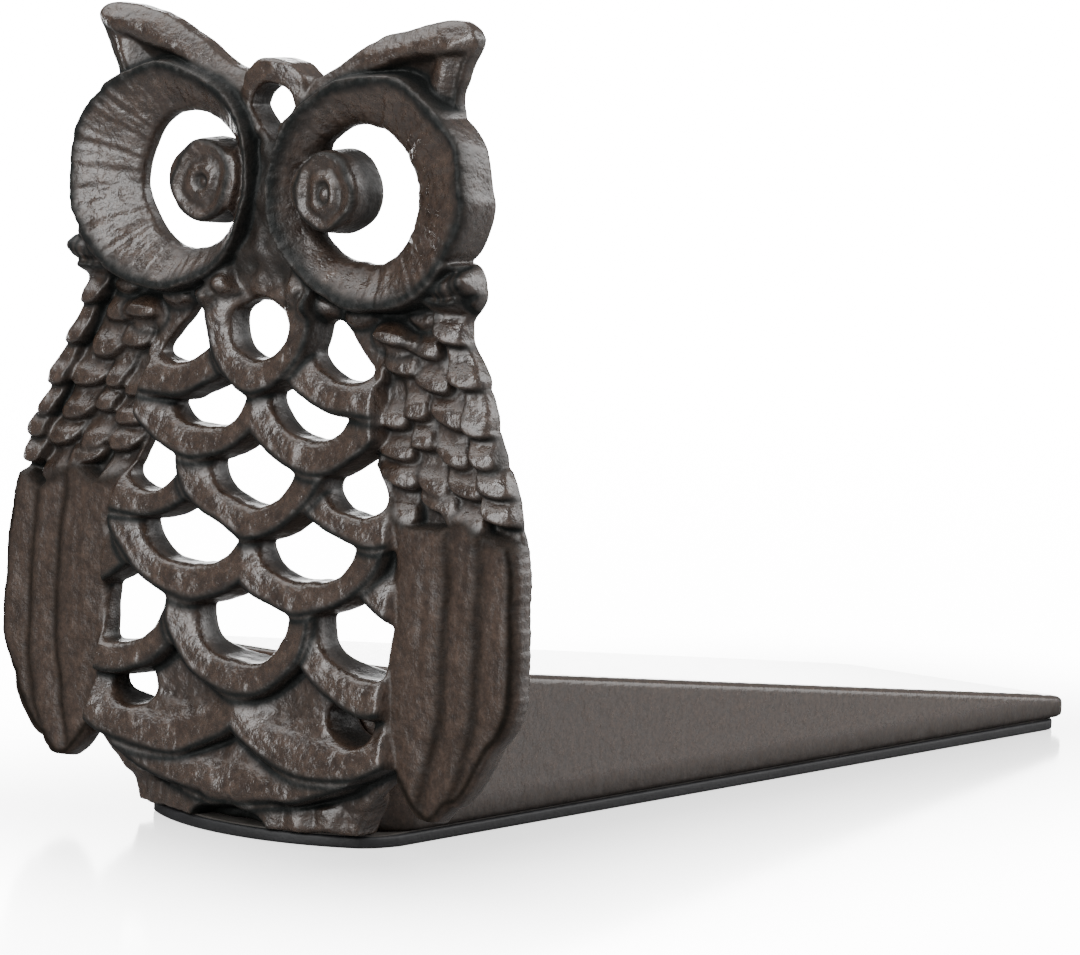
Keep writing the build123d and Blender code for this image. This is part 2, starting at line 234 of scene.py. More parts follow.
def breast(A, ZW, lean, inner):
    """Plate, then the bands from the bottom row up, each lying over the rows below it."""
    F = 1.2 + lean
    patina_and_painted_shade = np.zeros(A.shape)
    openings = []
    for cx, low, half, height, power, proud, hole in BANDS:
        side = LIP - arch(A, ZW, cx, low, half, height, power)
        if cx:
            side = np.maximum(side, LIP - arch(-A, ZW, cx, low, half, height, power))
        run = np.clip(side - LIP, 0, 9)
        lift = -proud - 0.1 + 0.28 * run - 0.6 * np.sin(np.clip(run / 5.6, 0, 1) * math.pi) ** 0.8
        lift = lift + lean - 0.25 * bell(side, LIP, 0.5)
        w = step(-0.35, 0.25, side)
        F = over(F, lift, w)
        patina_and_painted_shade = over(patina_and_painted_shade, bell(side, 0.55, 0.7), w)
        patina_and_painted_shade = np.maximum(patina_and_painted_shade, bell(side, -0.5, 0.8) * (side < 0.2))
        openings = [smooth_max(o, side + 0.2, 0.7) for o in openings]
        if hole:
            openings.append(smooth_max(opening(A, ZW, cx, low, hole), A - inner + 0.3, 1.0))
    return F, patina_and_painted_shade, np.minimum.reduce(openings)


def short_feathers(A, ZW):
    """Shingled short feathers, the lower rows first: their depth and the painted shadow below each one's
    lower edge.
    """
    rng = np.random.default_rng(7)
    face = np.full(A.shape, 1.9)
    patina_and_painted_shade = np.zeros(A.shape)
    for z_row, x_row in reversed(FEATHER_ROWS):
        for k, (wide, drop, inset) in enumerate(FEATHERS):
            cx = x_row + 0.4 - inset + rng.uniform(-0.9, 0.9)
            low = z_row + drop + rng.uniform(-0.9, 0.9)
            half = wide / 2 + rng.uniform(-0.4, 0.7)
            up = ZW - low
            body = arch(A + 0.30 * up, ZW + 0.16 * (A - cx) * (k > 0), cx, low, half, 2.2, 2.6)
            body = smooth_max(body, up - 7.0, 1.0)
            lift = -1.0 + 0.18 * up + step(1.6, 4.2, up) + 0.08 * np.abs(A - cx)
            lift = lift + (rng.uniform(0.1, 0.8) if k else -0.1) + (0.05 if k else 0.30) * (A - cx)
            w = step(-0.5, 0.35, -body)
            face = over(face, lift, w)
            # painted shadow: a dark line just below each feather's lower edge, darker on the outer column
            patina_and_painted_shade = np.maximum(patina_and_painted_shade * (1 - w), (0.5 if k else 0.9) * bell(body, 0.3, 0.6))
    return face, patina_and_painted_shade


def flight_feathers(A, ZW, inner):
    """Three long feathers side by side: their depth, and the patina in the grooves."""
    grooves = [np.interp(ZW, GROOVE_Z, x) for x in GROOVE_X]
    bounds = [inner - 1, *grooves, np.full(A.shape, WING_OUT)]
    face = np.full(A.shape, -0.6)
    for n, (lo, hi) in enumerate(zip(bounds[:-1], bounds[1:])):
        t = np.clip((A - lo) / (hi - lo) * 2 - 1, -1, 1)
        face = np.where((A >= lo) & (A < hi), -1.1 + 0.15 * n + 0.32 * np.abs(t) ** 3 - 0.2 * t, face)
    barbs = noise(A.shape, MAP_STEP, 1.1, 11, (1.0, 7.0))
    return blur(face, 0.35 / MAP_STEP) + 0.03 * barbs, 0.55 * sum(bell(A, x, 1.1) for x in grooves)


def wings(F, patina_and_painted_shade, D, A, ZW, lean, inner):
    """Short feathers above a ragged line, flight feathers below it, and the rungs on the edge."""
    short, short_painted_shadow = short_feathers(A, ZW)
    flight, flight_patina = flight_feathers(A, ZW, inner)
    line = ZW + 0.12 * (A - 40) + 0.7 * noise(A.shape, MAP_STEP, 4.5, 41)
    lower = step(FLIGHT_TOP + 1.1, FLIGHT_TOP - 0.5, line)
    # painted shadow along the ragged line under the lowest short feathers, over the painted shadows of the
    # short feathers and the patina in the grooves of the long ones
    wing_patina_and_painted_shadow = np.maximum(over(short_painted_shadow, flight_patina, lower), 0.6 * bell(line, FLIGHT_TOP, 1.0))
    w = step(-0.5, 0.9, A - inner) * step(83.5, 81.5, ZW)
    F = over(F, over(short + lean, flight + 0.6 * lean, lower), w)
    patina_and_painted_shade = over(patina_and_painted_shade, wing_patina_and_painted_shadow, w)
    matte = w * lower
    rim = np.clip(-D, 0, 9)
    F = F + 0.8 * bell(rim, 0, 1.2) * matte * step(16, 22, ZW)
    patina_and_painted_shade = np.maximum(patina_and_painted_shade, 0.8 * bell(rim, 1.0, 0.7) * matte)
    rungs = np.sin(ZW * 2 * math.pi / RUNG_PITCH + 1.6 * noise(A.shape, MAP_STEP, 7.0, 51))
    D = D + 0.06 * rungs * step(52, 48, ZW) * step(20, 24, ZW) * step(46, 48, A)
    return F, patina_and_painted_shade, D, matte


def lumps(F, patina_and_painted_shade, A, ZW):
    """Lumps under the eyes, and the shoulder feather that sticks out beside them."""
    for cx, cz, rx, rz, up in LUMPS:
        d = -oval(A, ZW, cx, cz, rx, rz)
        F = F - up * step(-0.3, rz * 0.8, d)
        patina_and_painted_shade = np.maximum(patina_and_painted_shade, 0.7 * bell(d, -0.3, 0.6))
    d = -turned(A, ZW, *SHOULDER)
    F = over(F, -1.3 * step(0, 2, d), step(-0.4, 0.5, d))
    return F, np.maximum(patina_and_painted_shade, bell(d, -0.4, 0.8))


def ears(F, patina_and_painted_shade, D, A, ZW):
    """A broad ridge along the top of each ear with a hollow below it, and the hanging ring."""
    hollow = polygon(A, ZW, np.vstack([curve(run) for run in EAR_HOLLOW]))
    outer = step(15, 19, A)
    face = 2.7 - 2.1 * bell(D, -3.2, 2.6) + 0.9 * step(0.3, -0.9, hollow) * outer
    w = step(103, 108, ZW) * step(5.2, 6.4, A)
    F = over(F, face, w)
    patina_and_painted_shade = np.maximum(patina_and_painted_shade * (1 - w), 0.6 * bell(hollow, -0.2, 0.7) * outer * w)
    ring = step(6.6, 5.6, A) * step(103.5, 106, ZW)
    return over(F, -0.4 + 0.05 * A ** 1.6, ring), patina_and_painted_shade


def bridge(F, patina_and_painted_shade, A, ZW):
    """Bridge between the eyes, broadening downwards."""
    half = np.interp(ZW, *zip(*BRIDGE_HALF))
    face = np.interp(ZW, *zip(*BRIDGE_Y)) + 0.01 * A ** 2 + 0.25 * noise(A.shape, MAP_STEP, 3.0, 31)
    w = step(-0.9, 0.5, half - A) * step(79.6, 81.6, ZW) * step(108, 104, ZW)
    return over(F, face, w), over(patina_and_painted_shade, 0.6 * step(81, 86, ZW), w)


def eyes(F, patina_and_painted_shade, A, ZW, to_hole):
    """A proud rim falling inwards like a dish to the hole, with brush strokes round it."""
    rim = -oval(A, ZW, EYE_X, EYE_Z, EYE_RX, EYE_RZ)
    inside = np.clip(rim, 0, None)
    t = inside / np.maximum(inside + np.clip(to_hole, 0, None), 1e-3)
    top = -2.1 + 0.02 * (ZW - EYE_Z) - 0.9 * step(9, 2, A)
    dish = top + (2.2 - top) * t ** 1.05
    angle = np.arctan2(ZW - HOLE_Z, A - HOLE_X)
    rng = np.random.default_rng(21)
    strokes = sum(rng.uniform(0.4, 1) * np.sin(angle * n + rng.uniform(0, 6.28)) for n in STROKES)
    dish = dish + 0.05 * strokes + 0.35 * bell(rim, 0, 0.5)
    w = step(-0.75, -0.15, rim)
    ragged = 1.25 + 0.25 * noise(A.shape, MAP_STEP, 1.2, 37)
    patina_and_painted_shade = over(patina_and_painted_shade, bell(rim, 0.6, ragged), w)
    return over(F, dish, w), np.maximum(patina_and_painted_shade, bell(rim, -0.7, 0.9))


def pupils(F, patina_and_painted_shade, A, ZW, boss):
    """Bosses with a raised rim and a dot, and the webs that tie them to the bridge."""
    r = np.hypot(A - PUPIL_X, ZW - PUPIL_Z) + 0.25 * noise(A.shape, MAP_STEP, 3.0, 43)
    face = sum((depth * bell(r, at, width) for at, width, depth in PUPIL_RINGS), -1.0)
    w = step(0.9, 0.2, boss)
    F = over(F, face, w)
    patina_and_painted_shade = over(patina_and_painted_shade, 0.9 * bell(r, 5.7, 0.6) + 0.5 * bell(r, 3.6, 0.6) + 0.8 * bell(r, 1.2, 0.5), w)
    web = np.maximum(np.abs(ZW - PUPIL_Z) - 2.0, np.abs(A - 4.6) - 3.0)
    w = step(0.4, -0.6, web) * step(-0.5, 0.5, boss)
    return over(F, np.minimum(F, 0.6), w), patina_and_painted_shade, web


def feet(F, patina_and_painted_shade, A, ZW):
    """Toes either side of a low arch, under the lowest band."""
    toes = -3.6 - 0.6 * np.abs(np.cos((A - 3.0) * math.pi / 5.0)) + 0.0095 * A ** 2
    toes = toes - 0.05 * (ZW - FOOT_Z)
    under = oval(A, ZW, 0, FOOT_Z, 7.4, 2.6)
    F = over(F, toes, step(7.0, 5.4, ZW)) + 4.0 * step(0.3, -0.9, under)
    # painted shade: the recess under the arch is coloured dark
    return F, np.maximum(patina_and_painted_shade, step(1.0, 0.0, under))


def back_face(A, ZW, to_hole, boss):
    """Depth of the back: body, thicker head and ears, and the pad against the wedge."""
    back = 3.2 + LEAN * (ZW - 45) + 0.5 * step(31, 35, A) * step(53, 49, ZW)
    head = 5.5 - 0.7 * step(4, 0.5, to_hole) * step(0, 1, boss)
    back = np.where((ZW > 82) & ((A < 36) | (ZW > 90)), head, back)
    back = np.where(ZW > 112, np.interp(A, *zip(*EAR_BACK)), back)
    back = np.maximum(back, Y_BACK * step(30, 26.5, ZW) * step(27, 24, A))
    back = np.maximum(back, (Y_BACK - 0.05) * step(1.2, 0.6, boss))
    return blur(back, 0.8 / MAP_STEP)


def figure_maps():
    """Outline distance, front and back depth, flare and looks of the figure on an X/Z grid."""
    xs = np.arange(-56, 56, MAP_STEP)
    zs = np.arange(-2, 128, MAP_STEP)
    X, Z = np.meshgrid(xs, zs, indexing="ij")
    A = np.abs(X + 0.22 * noise(X.shape, MAP_STEP, 7, 1))
    ZW = Z + 0.22 * noise(X.shape, MAP_STEP, 7, 2)
    lean = LEAN * (np.clip(ZW, 16, 80) - LEAN_Z)
    inner = np.interp(ZW, *zip(*WING_EDGE))
    to_hole = oval(A, ZW, HOLE_X, HOLE_Z, HOLE_R, HOLE_R)
    boss = oval(A, ZW, PUPIL_X, PUPIL_Z, PUPIL_R, PUPIL_R - 0.4)

    D = polygon(A, ZW, np.vstack([[(PLATE_X, 60), (PLATE_X, 116.3)], *map(curve, OUTLINE),
                                  [(PLATE_X, FOOT_Z)]]))
    D = D - 0.45 * step(33, 38, A) * step(118, 112, ZW) - 0.3 * step(112, 116, ZW) * step(6, 9, A)
    D = np.minimum(D, oval(A, ZW, EYE_X, EYE_Z, EYE_RX, EYE_RZ))

    F, patina_and_painted_shade, holes = breast(A, ZW, lean, inner)
    F, patina_and_painted_shade, D, matte = wings(F, patina_and_painted_shade, D, A, ZW, lean, inner)
    F, patina_and_painted_shade = lumps(F, patina_and_painted_shade, A, ZW)
    F, patina_and_painted_shade = ears(F, patina_and_painted_shade, D, A, ZW)
    F, patina_and_painted_shade = bridge(F, patina_and_painted_shade, A, ZW)
    F, patina_and_painted_shade = eyes(F, patina_and_painted_shade, A, ZW, to_hole)
    F, patina_and_painted_shade, web = pupils(F, patina_and_painted_shade, A, ZW, boss)
    F, patina_and_painted_shade = feet(F, patina_and_painted_shade, A, ZW)

    # holes: beside the pupils, and the drop-shaped one in the hanging ring
    eye_hole = np.maximum(to_hole, -smooth_min(boss, web, 1.0))
    drop = np.maximum((A - 0.80 * (ZW - 104.4)) * 0.78, ZW - 110)
    drop = smooth_min(oval(A, ZW, 0, 110.2, 4.3, 3.1), drop, 0.6)
    holes = np.minimum(holes, np.minimum(eye_hole, drop))
    D = smooth_max(D, -holes, 0.45)
    flare = 0.02 + 0.07 * step(30, 36, A) * step(88, 92, ZW) * step(111, 105, ZW)
    flare = flare + 0.04 * step(1.5, 0.5, boss)

    # sand-cast skin
    skin_noise = 0.036 * noise(X.shape, MAP_STEP, 1.5, 4) + 0.024 * noise(X.shape, MAP_STEP, 0.8, 5)
    F = F + 0.08 * noise(X.shape, MAP_STEP, 4.5, 3) + (1 - 0.5 * matte) * skin_noise
    D = D + 0.05 * noise(X.shape, MAP_STEP, 2.0, 6)
    return xs, zs, {"edge": D, "front": blur(F, 0.12 / MAP_STEP), "back": back_face(A, ZW, to_hole, boss),
                    "flare": flare, "patina_and_painted_shade": np.clip(patina_and_painted_shade, 0, 1), "matte": matte,
                    "wall_shade_mask": step(1.4, 0.3, holes)}


def sample(m, xs, zs, x, z):
    """Values of a map at the points, between its cells."""
    u = np.clip((x - xs[0]) / (xs[1] - xs[0]), 0, len(xs) - 1.001)
    v = np.clip((z - zs[0]) / (zs[1] - zs[0]), 0, len(zs) - 1.001)
    i, j = u.astype(int), v.astype(int)
    u, v = u - i, v - j
    return ((m[i, j] * (1 - u) + m[i + 1, j] * u) * (1 - v)
            + (m[i, j + 1] * (1 - u) + m[i + 1, j + 1] * u) * v)


def skin(f, origin, h):
    """Closed quad surface where the field f crosses zero, negative inside (surface nets)."""
    s = f < 0
    n = [d - 1 for d in f.shape]
    corner = [(i, j, k) for i in (0, 1) for j in (0, 1) for k in (0, 1)]
    count = sum(s[i:i + n[0], j:j + n[1], k:k + n[2]].astype(np.int8) for i, j, k in corner)
    cells = np.argwhere((count > 0) & (count < 8))
    index = np.full(n, -1, np.int64)
    index[tuple(cells.T)] = np.arange(len(cells))
    vals = {c: f[tuple((cells + c).T)] for c in corner}
    pos = np.zeros((len(cells), 3))
    hits = np.zeros(len(cells))
    for c in corner:
        for axis in range(3):
            if c[axis]:
                continue
            e = list(c)
            e[axis] = 1
            fa, fb = vals[c], vals[tuple(e)]
            m = (fa < 0) != (fb < 0)
            t = fa[m] / (fa[m] - fb[m])
            p = np.tile(np.array(c, float), (m.sum(), 1))
            p[:, axis] += t
            pos[m] += p
            hits[m] += 1
    verts = (cells + pos / hits[:, None]) * h + origin
    quads = []
    for axis in range(3):
        a1, a2 = (axis + 1) % 3, (axis + 2) % 3
        lo = [slice(None)] * 3
        hi = [slice(None)] * 3
        lo[axis], hi[axis] = slice(0, -1), slice(1, None)
        change = s[tuple(lo)] != s[tuple(hi)]
        e = np.argwhere(change)
        e = e[(e[:, a1] > 0) & (e[:, a2] > 0) & (e[:, a1] < n[a1]) & (e[:, a2] < n[a2])]
        flip = s[tuple(e.T)]
        ring = []
        for d1, d2 in ((-1, -1), (0, -1), (0, 0), (-1, 0)):
            q = e.copy()
            q[:, a1] += d1
            q[:, a2] += d2
            ring.append(index[tuple(q.T)])
        ring = np.stack(ring, 1)
        ring[~flip] = ring[~flip][:, ::-1]
        quads.append(ring)
    return verts, np.vstack(quads)


def to_object(name, verts, quads, attributes=None):
    """Mesh object from millimetre coordinates measured from the face line."""
    v = np.asarray(verts, float).copy()
    v[:, 1] -= Y_MID
    mesh = bpy.data.meshes.new(name)
    mesh.vertices.add(len(v))
    mesh.vertices.foreach_set("co", (v * 0.001).astype(np.float32).ravel())
    mesh.loops.add(quads.size)
    mesh.loops.foreach_set("vertex_index", quads.astype(np.int32).ravel())
    mesh.polygons.add(len(quads))
    mesh.polygons.foreach_set("loop_start", np.arange(0, quads.size, quads.shape[1], dtype=np.int32))
    mesh.polygons.foreach_set("use_smooth", np.full(len(quads), True))
    for key, values in (attributes or {}).items():
        layer = mesh.attributes.new(key, "FLOAT", "POINT")
        layer.data.foreach_set("value", np.asarray(values, np.float32))
    mesh.update(calc_edges=True)
    mesh.validate()
    obj = bpy.data.objects.new(name, mesh)
    bpy.context.scene.collection.objects.link(obj)
    return obj


def grid(lo, hi, h):
    """Axes of a grid that encloses the box with a margin, and its first corner."""
    axes = [np.arange(a - 2 * h, b + 3 * h, h) for a, b in zip(lo, hi)]
    return axes, np.array([a[0] for a in axes])


# ---- figure -------------------------------------------------------------------------------------
def build_figure():
    xs, zs, maps = figure_maps()
    h = VOXEL
    axes, origin = grid((-53.5, -5.6, FOOT_Z - 0.2), (53.5, Y_BACK + 0.2, 125), h)
    X, Z = np.meshgrid(axes[0], axes[2], indexing="ij")
    edge, front, back, flare = (sample(maps[key], xs, zs, X, Z)[:, None, :]
                                for key in ("edge", "front", "back", "flare"))
    gx, gz = np.gradient(front[:, 0, :], h)
    slope = np.sqrt(1 + np.clip(gx ** 2 + gz ** 2, 0, 6))[:, None, :]
    y = axes[1][None, :, None]
    field = smooth_max(edge - flare * np.clip(y + 1, 0, 7), (front - y) / slope, 1.0)
    field = smooth_max(field, y - back, 0.9)
    field = np.maximum(field, FOOT_Z + 0.01 - axes[2][None, None, :])
    verts, quads = skin(field.astype(np.float32), origin, h)
    at = (xs, zs, verts[:, 0], verts[:, 2])
    depth = np.clip((verts[:, 1] - sample(maps["front"], *at)) / 3, 0, 1)
    off_back = step(0, -1.2, verts[:, 1] - sample(maps["back"], *at))
    hollow = sample(maps["front"] - blur(maps["front"], 3.0 / MAP_STEP), *at)
    patina_and_painted_shade = sample(maps["patina_and_painted_shade"], *at) * (1 - 0.9 * depth)
    # painted shade: the walls of the openings darken the further back they reach
    patina_and_painted_shade = np.maximum(patina_and_painted_shade, 0.8 * depth * sample(maps["wall_shade_mask"], *at) * off_back)
    return to_object("owl_casting", verts, quads, attributes={
        "patina_and_painted_shade": patina_and_painted_shade, "hollow": np.clip(hollow, 0, 2) * (1 - depth),
        "matte": sample(maps["matte"], *at) * (1 - depth)})


# ---- wedge --------------------------------------------------------------------------------------
def build_wedge():
    h = 0.6
    axes, origin = grid((-HALF_W, Y_BACK, FOOT_Z), (HALF_W, Y_TIP, TOP_Z0), h)
    x = np.abs(axes[0])[:, None, None]
    y = axes[1][None, :, None]
    z = axes[2][None, None, :]
    norm = math.hypot(1, TOP_SLOPE)
    top = (z - (TOP_Z0 - TOP_SLOPE * y)) / norm
    # plan: box with rounded corners, larger at the thick end than at the tip
    mid = (Y_BACK + Y_TIP) / 2
    rad = np.where(y < mid, CORNER_THICK, CORNER_TIP)
    qx, qy = x - HALF_W + rad, np.abs(y - mid) - (Y_TIP - Y_BACK) / 2 + rad
    plan = np.hypot(np.maximum(qx, 0), np.maximum(qy, 0)) + np.minimum(np.maximum(qx, qy), 0) - rad
    # nose: half ellipse in side view, on a short upright edge
    nose_z = FOOT_Z + TIP_EDGE
    nose = oval(y + 0 * z, z + 0 * y, TIP_FLAT, nose_z, Y_TIP - TIP_FLAT,
                TOP_Z0 - TOP_SLOPE * TIP_FLAT - nose_z)
    nose = np.where(y > TIP_FLAT, nose, -9.0)
    nose = np.where((y > TIP_FLAT) & (z < nose_z), y - Y_TIP + 0.25 * (nose_z - z) ** 2, nose)
    body = smooth_max(smooth_max(plan + 0 * z, top + 0 * x, 1.6), nose + 0 * x, 0.6)
    body = smooth_max(body, FOOT_Z + 0.01 - z + 0 * body, 0.5)
    inner = np.maximum(x - HALF_W + WALL, np.maximum(Y_BACK + WALL - y, y - HOLLOW_END))
    inner = np.maximum(inner, top + WALL)
    body = np.maximum(body, -(inner + 0 * body))
    verts, quads = skin(body.astype(np.float32), origin, h)
    return to_object("ramp_casting", verts, quads)


# ---- sole ---------------------------------------------------------------------------------------
def sole_loop(inset):
    """Plan outline: straight sides, rounded tail, front edge bowed outwards."""
    w, tail, side, nose = HALF_W - inset, Y_PAD_END - inset, 5.0 + inset, -4.0 + inset
    sag = side - nose
    R = (w * w + sag * sag) / (2 * sag)
    half = math.asin(w / R)
    bow = np.linspace(-half * 0.86, half * 0.86, 60)
    pts = [(R * math.sin(a), nose + R - R * math.cos(a)) for a in bow]
    corner = curve([pts[-1], (w - 1.1, side + 0.2), (w, side + 4.0)])
    pts += [tuple(p) for p in corner[1:]]
    pts += [(w, y) for y in np.linspace(side + 8, tail - 6, 120)]
    r = CORNER_TIP
    pts += [(w - r + r * math.cos(a), tail - r + r * math.sin(a)) for a in np.linspace(0, math.pi / 2, 12)]
    right = [p for p in pts if p[0] > 1e-6]
    left = [(-px, py) for px, py in reversed(right)]
    return np.array(right + left)


def build_sole():
    levels = [(0.35, 0.02), (0.08, 0.12), (0.0, 0.4), (0.02, 0.9), (0.0, 1.4), (0.1, 1.7),
              (0.4, PAD_T - 0.01)]      # inset, height
    loops = []
    for inset, z in levels:
        loop = sole_loop(inset)
        loops.append(np.column_stack([loop, np.full(len(loop), z)]))
    n = len(loops[0])
    verts = np.vstack(loops)
    quads = []
    for k in range(len(levels) - 1):
        i = np.arange(n)
        j = (i + 1) % n
        quads.append(np.column_stack([k * n + i, k * n + j, (k + 1) * n + j, (k + 1) * n + i]))
    # caps: strips joining each point to its mirror image
    half = n // 2
    for base, flip in ((0, True), ((len(levels) - 1) * n, False)):
        i = np.arange(half - 1)
        strip = np.column_stack([base + i, base + i + 1, base + n - 2 - i, base + n - 1 - i])
        quads.append(strip[:, ::-1] if flip else strip)
    return to_object("rubber_sole", verts, np.vstack(quads))


# ---- materials ----------------------------------------------------------------------------------
def nodes_of(name):
    m = bpy.data.materials.new(name)
    m.use_nodes = True
    t = m.node_tree
    return m, t, t.nodes["Principled BSDF"]


class Net:
    """Short way to write shader graphs."""
    def __init__(self, tree):
        self.t = tree

    def node(self, kind, links=(), **props):
        n = self.t.nodes.new(kind)
        for key, value in props.items():
            setattr(n, key, value)
        for socket, value in links:
            if hasattr(value, "is_output"):
                self.t.links.new(value, n.inputs[socket])
            else:
                n.inputs[socket].default_value = value
        return n

    def math(self, op, a, b=0.0, clamp=False):
        n = self.node("ShaderNodeMath", ((0, a), (1, b)), operation=op, use_clamp=clamp)
        return n.outputs[0]

    def scaled(self, value, by, plus=0.0, clamp=False):
        """plus + by * value"""
        return self.math("ADD", plus, self.math("MULTIPLY", value, by), clamp)

    def fade(self, value, a, b, low, high):
        """Smooth step of the value from low at a to high at b."""
        n = self.node("ShaderNodeMapRange", (("Value", value), ("From Min", a), ("From Max", b),
                                             ("To Min", low), ("To Max", high)),
                      interpolation_type="SMOOTHSTEP")
        return n.outputs[0]

    def place(self):
        return self.node("ShaderNodeTexCoord").outputs["Object"]

    def part(self, vector, axis):
        return self.node("ShaderNodeSeparateXYZ", ((0, vector),)).outputs[axis]

    def noise(self, vector, scale, detail=4.0, rough=0.55):
        n = self.node("ShaderNodeTexNoise", (("Vector", vector), ("Scale", scale), ("Detail", detail),
                                             ("Roughness", rough)))
        return n.outputs["Fac"]

    def ramp(self, fac, stops):
        n = self.node("ShaderNodeValToRGB", (("Fac", fac),))
        r = n.color_ramp
        while len(r.elements) < len(stops):
            r.elements.new(0.5)
        for e, (at, colour) in zip(r.elements, stops):
            e.position = at
            e.color = (*colour, 1)
        return n.outputs["Color"]

    def mix(self, fac, a, b, blend="MIX"):
        n = self.node("ShaderNodeMix", data_type="RGBA", blend_type=blend)
        for i, value in ((0, fac), (6, a), (7, b)):
            if hasattr(value, "is_output"):
                self.t.links.new(value, n.inputs[i])
            else:
                n.inputs[i].default_value = value if i == 0 else (*value, 1)
        return n.outputs[2]


BROWN = (0.052, 0.032, 0.022)
BROWN_LIGHT = (0.088, 0.056, 0.040)
BROWN_DARK = (0.025, 0.015, 0.011)
# grey-green of the patina, also used for painted shade and shadow
PATINA_AND_SHADE = (0.008, 0.0095, 0.009)
SPECK_DARK, SPECK_LIGHT = 0.68, 1.10    # the specks multiply the brown by this much
LUMP_DEPTH, FINE_DEPTH, DUST_DEPTH = 0.00022, 0.00012, 0.00005      # relief of the skin, metres
SHINE = 0.5


def iron_material(name, carved):
    """Rust-brown lacquer on cast iron, darker grey-green where patina has gathered, where shade is
    painted, and low on the wedge.
    """
    m, tree, bsdf = nodes_of(name)
    g = Net(tree)
    co = g.place()
    broad = g.noise(co, 60, 3)
    mid = g.noise(co, 420, 5, 0.6)
    base = g.ramp(mid, ((0.30, BROWN_DARK), (0.50, BROWN), (0.72, BROWN_LIGHT)))
    base = g.mix(g.scaled(broad, 0.30, 0.0 if carved else 0.35), base, BROWN_LIGHT)
    specks = g.ramp(g.noise(co, 1100, 3, 0.7), ((0.40, (SPECK_DARK,) * 3), (0.62, (SPECK_LIGHT,) * 3)))
    base = g.mix(1.0, base, specks, "MULTIPLY")
    height = g.scaled(g.noise(co, 420, 1, 0.5), LUMP_DEPTH)
    height = g.math("ADD", height, g.math("MULTIPLY", g.noise(co, 1500, 2, 0.5), FINE_DEPTH))
    height = g.math("ADD", height, g.math("MULTIPLY", g.noise(co, 3200, 2, 0.5), DUST_DEPTH))
    # amount of grey-green: patina and painted shade from the figure's maps, or on the wedge darker in the
    # lowest few millimetres
    if carved:
        patina_and_shade_fac, hollow, matte = (g.node("ShaderNodeAttribute", attribute_name=key).outputs["Fac"]
                                   for key in ("patina_and_painted_shade", "hollow", "matte"))
        amount = g.math("ADD", patina_and_shade_fac, g.math("MULTIPLY", hollow, 0.30))
    else:
        above = g.math("MULTIPLY", g.math("SUBTRACT", g.part(co, 2), 0.001 * FOOT_Z), 220.0)
        amount = g.math("MULTIPLY", g.math("SUBTRACT", 1.0, above, clamp=True), 0.75)
        facing = g.node("ShaderNodeNewGeometry").outputs["Normal"]
        lying = g.math("MULTIPLY", g.part(facing, 2), 1.0, clamp=True)
    amount = g.math("MULTIPLY", amount, g.scaled(mid, 0.8, 0.60), clamp=True)
    colour = g.mix(amount, base, PATINA_AND_SHADE)
    rough = g.math("ADD", g.scaled(mid, 0.20, 0.15), g.math("MULTIPLY", amount, 0.30))
    shine = g.math("SUBTRACT", SHINE, g.math("MULTIPLY", amount, 0.38), clamp=True)
    if carved:      # the flight feathers are duller
        rough = g.math("ADD", rough, g.math("MULTIPLY", matte, 0.16))
        shine = g.math("SUBTRACT", shine, g.math("MULTIPLY", matte, 0.22), clamp=True)
    else:           # the wedge is smoother on top than at its sides
        shine = g.math("MULTIPLY", shine, g.scaled(lying, 0.5, 0.5))
        rough = g.math("MULTIPLY", rough, g.math("SUBTRACT", 1.0, g.math("MULTIPLY", lying, 0.4)))
        height = g.math("MULTIPLY", height, g.math("SUBTRACT", 0.45, g.math("MULTIPLY", lying, 0.36)))
    bump = g.node("ShaderNodeBump", (("Height", height), ("Strength", 1.0), ("Distance", 1.0)))
    for key, value in (("Base Color", colour), ("Roughness", rough), ("Specular IOR Level", shine),
                       ("Normal", bump.outputs[0])):
        tree.links.new(value, bsdf.inputs[key])
    bsdf.inputs["IOR"].default_value = 1.85
    return m


def plain_material(name, scale, dark, light, roughness):
    """Material whose colour varies softly between dark and light, and its parts to build on."""
    m, tree, bsdf = nodes_of(name)
    g = Net(tree)
    n = g.noise(g.place(), scale)
    tree.links.new(g.ramp(n, ((0.3, dark), (0.7, light))), bsdf.inputs["Base Color"])
    bsdf.inputs["Roughness"].default_value = roughness
    return m, g, bsdf, n


def rubber_material():
    m, g, bsdf, n = plain_material("black_rubber", 120, (0.010, 0.010, 0.011), (0.022, 0.022, 0.024), 0.55)
    bump = g.node("ShaderNodeBump", (("Height", g.noise(g.place(), 1500, 3)), ("Strength", 0.25),
                                     ("Distance", 0.0003)))
    g.t.links.new(bump.outputs[0], bsdf.inputs["Normal"])
    return m


def steel_material():
    m, g, bsdf, n = plain_material("plain_steel", 600, (0.30, 0.29, 0.28), (0.46, 0.45, 0.44), 0.4)
    g.t.links.new(g.scaled(n, 0.25, 0.25), bsdf.inputs["Roughness"])
    bsdf.inputs["Metallic"].default_value = 1.0
    return m


def glue_material():
    return plain_material("set_adhesive", 300, (0.05, 0.045, 0.04), (0.10, 0.09, 0.08), 0.6)[0]


# ---- build --------------------------------------------------------------------------------------
def paint(obj, material):
    obj.data.materials.clear()
    obj.data.materials.append(material)


